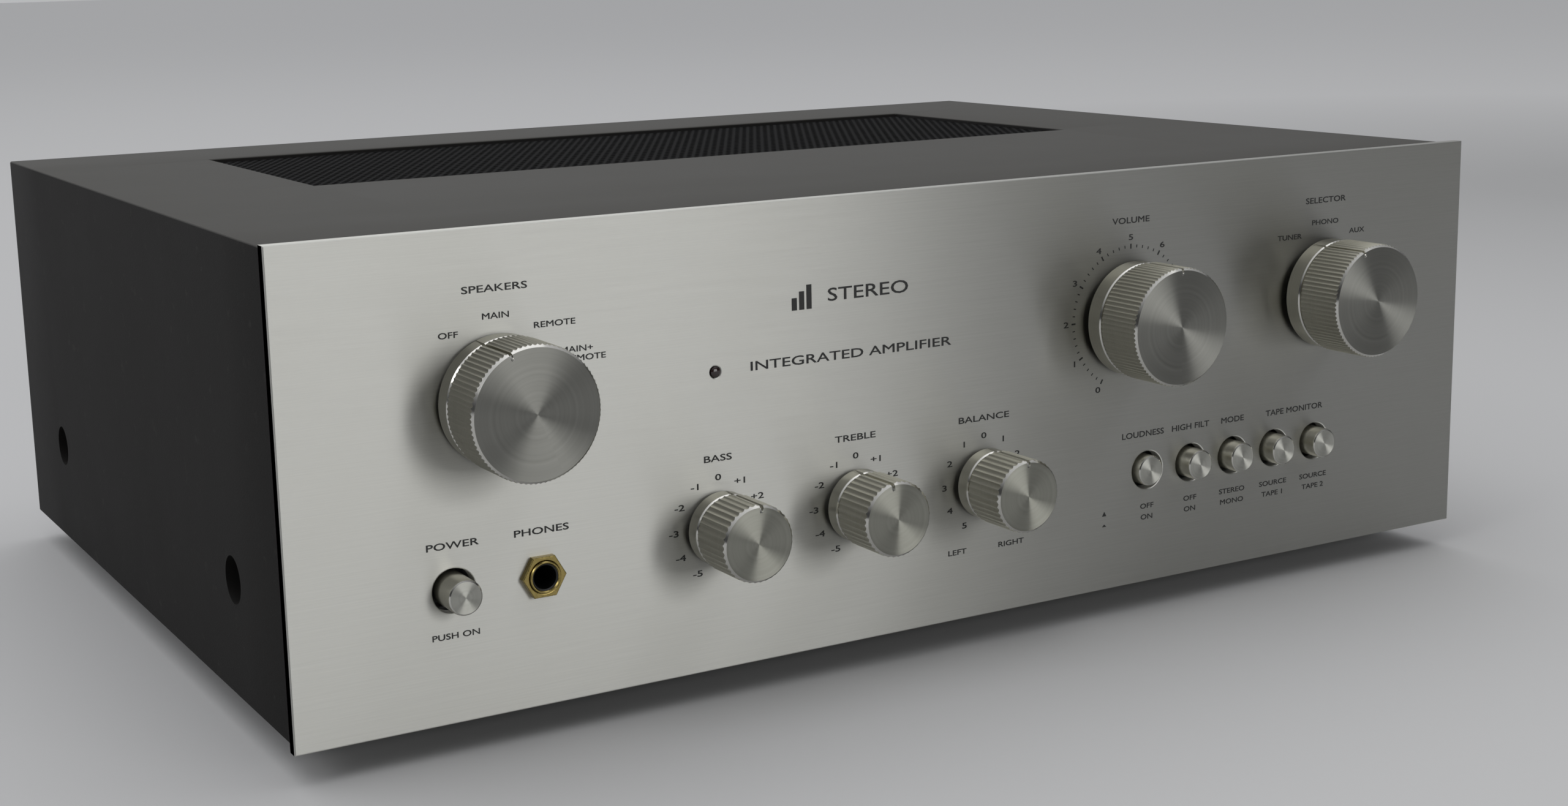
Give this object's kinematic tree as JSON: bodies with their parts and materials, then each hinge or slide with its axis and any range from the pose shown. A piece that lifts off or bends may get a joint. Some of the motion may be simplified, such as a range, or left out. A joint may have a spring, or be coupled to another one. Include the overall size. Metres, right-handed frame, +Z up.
{
  "type": "integrated stereo amplifier",
  "caption": "Stereo amplifier in a vinyl-covered cabinet with a brushed aluminium front, rotary knobs, push buttons, a headphone jack and a top vent grille.",
  "frame": {"origin": "middle of the amplifier's footprint, from knob faces to rear ground post, on the surface its feet stand on", "axes": "+X to the user's right along the front panel, +Y away from the user, +Z up"},
  "size_m": [0.41, 0.328, 0.139],
  "materials": {
    "brushed_aluminium": "horizontally brushed, clear anodised",
    "turned_aluminium": "turned, bright",
    "vinyl_covering": "black grained vinyl film over particle board",
    "raw_wood": "unfinished softwood",
    "black_steel": "black painted perforated steel",
    "zinc_steel": "zinc plated sheet steel",
    "rear_paint": "black painted sheet steel",
    "screw_steel": "nickel plated",
    "black_screw": "black oxide",
    "foot_rubber": "moulded",
    "shaft_steel": "turned",
    "can_steel": "nickel plated",
    "switch_plastic": "moulded phenolic",
    "circuit_board": "phenolic paper laminate",
    "brass": "aged brass plating",
    "lamp_lens": "clear dark red epoxy",
    "nickel": "nickel plated brass",
    "black_plastic": "moulded",
    "core_steel": "varnished laminations",
    "coil_tape": "varnished paper tape",
    "black_aluminium": "black anodised",
    "capacitor_sleeve": "shrink sleeve"
  },
  "bodies": {
    "chassis": {"front_panel": "brushed_aluminium", "sub_front_panel": "zinc_steel", "panel_spacers": "screw_steel", "panel_screws": "screw_steel", "cabinet_top": "vinyl_covering", "cabinet_side_left": "vinyl_covering", "cabinet_side_right": "vinyl_covering", "cabinet_cleats": "raw_wood", "vent_grille": "black_steel", "cabinet_screws": "black_screw", "chassis_tray": "zinc_steel", "side_rails": "zinc_steel", "rubber_feet": "foot_rubber", "foot_screws": "screw_steel", "rotary_switches": "can_steel", "potentiometers": "can_steel", "control_nuts": "screw_steel", "push_switches": "switch_plastic", "switch_plates": "zinc_steel", "control_circuit_boards": "circuit_board", "headphone_jack": "brass", "headphone_nut": "brass", "power_lamp": "lamp_lens", "rear_panel": "rear_paint", "rear_panel_screws": "black_screw", "phono_jack_insulator": "black_plastic", "phono_jack_shells": "nickel", "speaker_terminal_blocks": "black_plastic", "speaker_terminal_screws": "screw_steel", "mains_outlets": "black_plastic", "fuse_holder": "black_plastic", "mains_cord_bushing": "black_plastic", "ground_terminal": "nickel", "transformer_core": "core_steel", "transformer_coil": "coil_tape", "transformer_strap": "zinc_steel", "heatsink": "black_aluminium", "output_transistors": "can_steel", "main_circuit_board": "circuit_board", "board_standoffs": "zinc_steel", "filter_capacitors": "capacitor_sleeve", "board_components": "black_plastic"},
    "speakers_control": {"speakers_knob": "turned_aluminium", "speakers_shaft": "shaft_steel"},
    "volume_control": {"volume_knob": "turned_aluminium", "volume_shaft": "shaft_steel"},
    "selector_control": {"selector_knob": "turned_aluminium", "selector_shaft": "shaft_steel"},
    "bass_control": {"bass_knob": "turned_aluminium", "bass_shaft": "shaft_steel"},
    "treble_control": {"treble_knob": "turned_aluminium", "treble_shaft": "shaft_steel"},
    "balance_control": {"balance_knob": "turned_aluminium", "balance_shaft": "shaft_steel"},
    "power_push": {"power_button": "turned_aluminium"},
    "loudness_push": {"loudness_button": "turned_aluminium"},
    "high_filter_push": {"high_filter_button": "turned_aluminium"},
    "mode_push": {"mode_button": "turned_aluminium"},
    "tape_monitor_push": {"tape_monitor_button": "turned_aluminium"},
    "tape_select_push": {"tape_select_button": "turned_aluminium"}
  },
  "joints": [
    {"name": "speakers_turn", "type": "hinge", "parent": "chassis", "child": "speakers_control", "pos_m": [-0.145, -0.14, 0.094], "axis": [0, 1, 0], "range_deg": [0, 67.5]},
    {"name": "volume_turn", "type": "hinge", "parent": "chassis", "child": "volume_control", "pos_m": [0.064, -0.14, 0.094], "axis": [0, 1, 0], "range_deg": [-150, 150]},
    {"name": "selector_turn", "type": "hinge", "parent": "chassis", "child": "selector_control", "pos_m": [0.144, -0.14, 0.094], "axis": [0, 1, 0], "range_deg": [0, 45]},
    {"name": "bass_turn", "type": "hinge", "parent": "chassis", "child": "bass_control", "pos_m": [-0.081, -0.14, 0.05], "axis": [0, 1, 0], "range_deg": [-156, 144]},
    {"name": "treble_turn", "type": "hinge", "parent": "chassis", "child": "treble_control", "pos_m": [-0.036, -0.14, 0.05], "axis": [0, 1, 0], "range_deg": [-140, 160]},
    {"name": "balance_turn", "type": "hinge", "parent": "chassis", "child": "balance_control", "pos_m": [0.009, -0.14, 0.05], "axis": [0, 1, 0], "range_deg": [-150, 150]},
    {"name": "power_press", "type": "slide", "parent": "chassis", "child": "power_push", "axis": [0, 1, 0], "range_m": [0, 0.0045], "stiffness_N_per_m": 350, "springref_m": -0.002},
    {"name": "loudness_press", "type": "slide", "parent": "chassis", "child": "loudness_push", "axis": [0, 1, 0], "range_m": [-0.0031, 0.0005]},
    {"name": "high_filter_press", "type": "slide", "parent": "chassis", "child": "high_filter_push", "axis": [0, 1, 0], "range_m": [0, 0.0036], "stiffness_N_per_m": 300, "springref_m": -0.002},
    {"name": "mode_press", "type": "slide", "parent": "chassis", "child": "mode_push", "axis": [0, 1, 0], "range_m": [0, 0.0036], "stiffness_N_per_m": 300, "springref_m": -0.002},
    {"name": "tape_monitor_press", "type": "slide", "parent": "chassis", "child": "tape_monitor_push", "axis": [0, 1, 0], "range_m": [0, 0.0036], "stiffness_N_per_m": 300, "springref_m": -0.002},
    {"name": "tape_select_press", "type": "slide", "parent": "chassis", "child": "tape_select_push", "axis": [0, 1, 0], "range_m": [0, 0.0036], "stiffness_N_per_m": 300, "springref_m": -0.002}
  ]
}
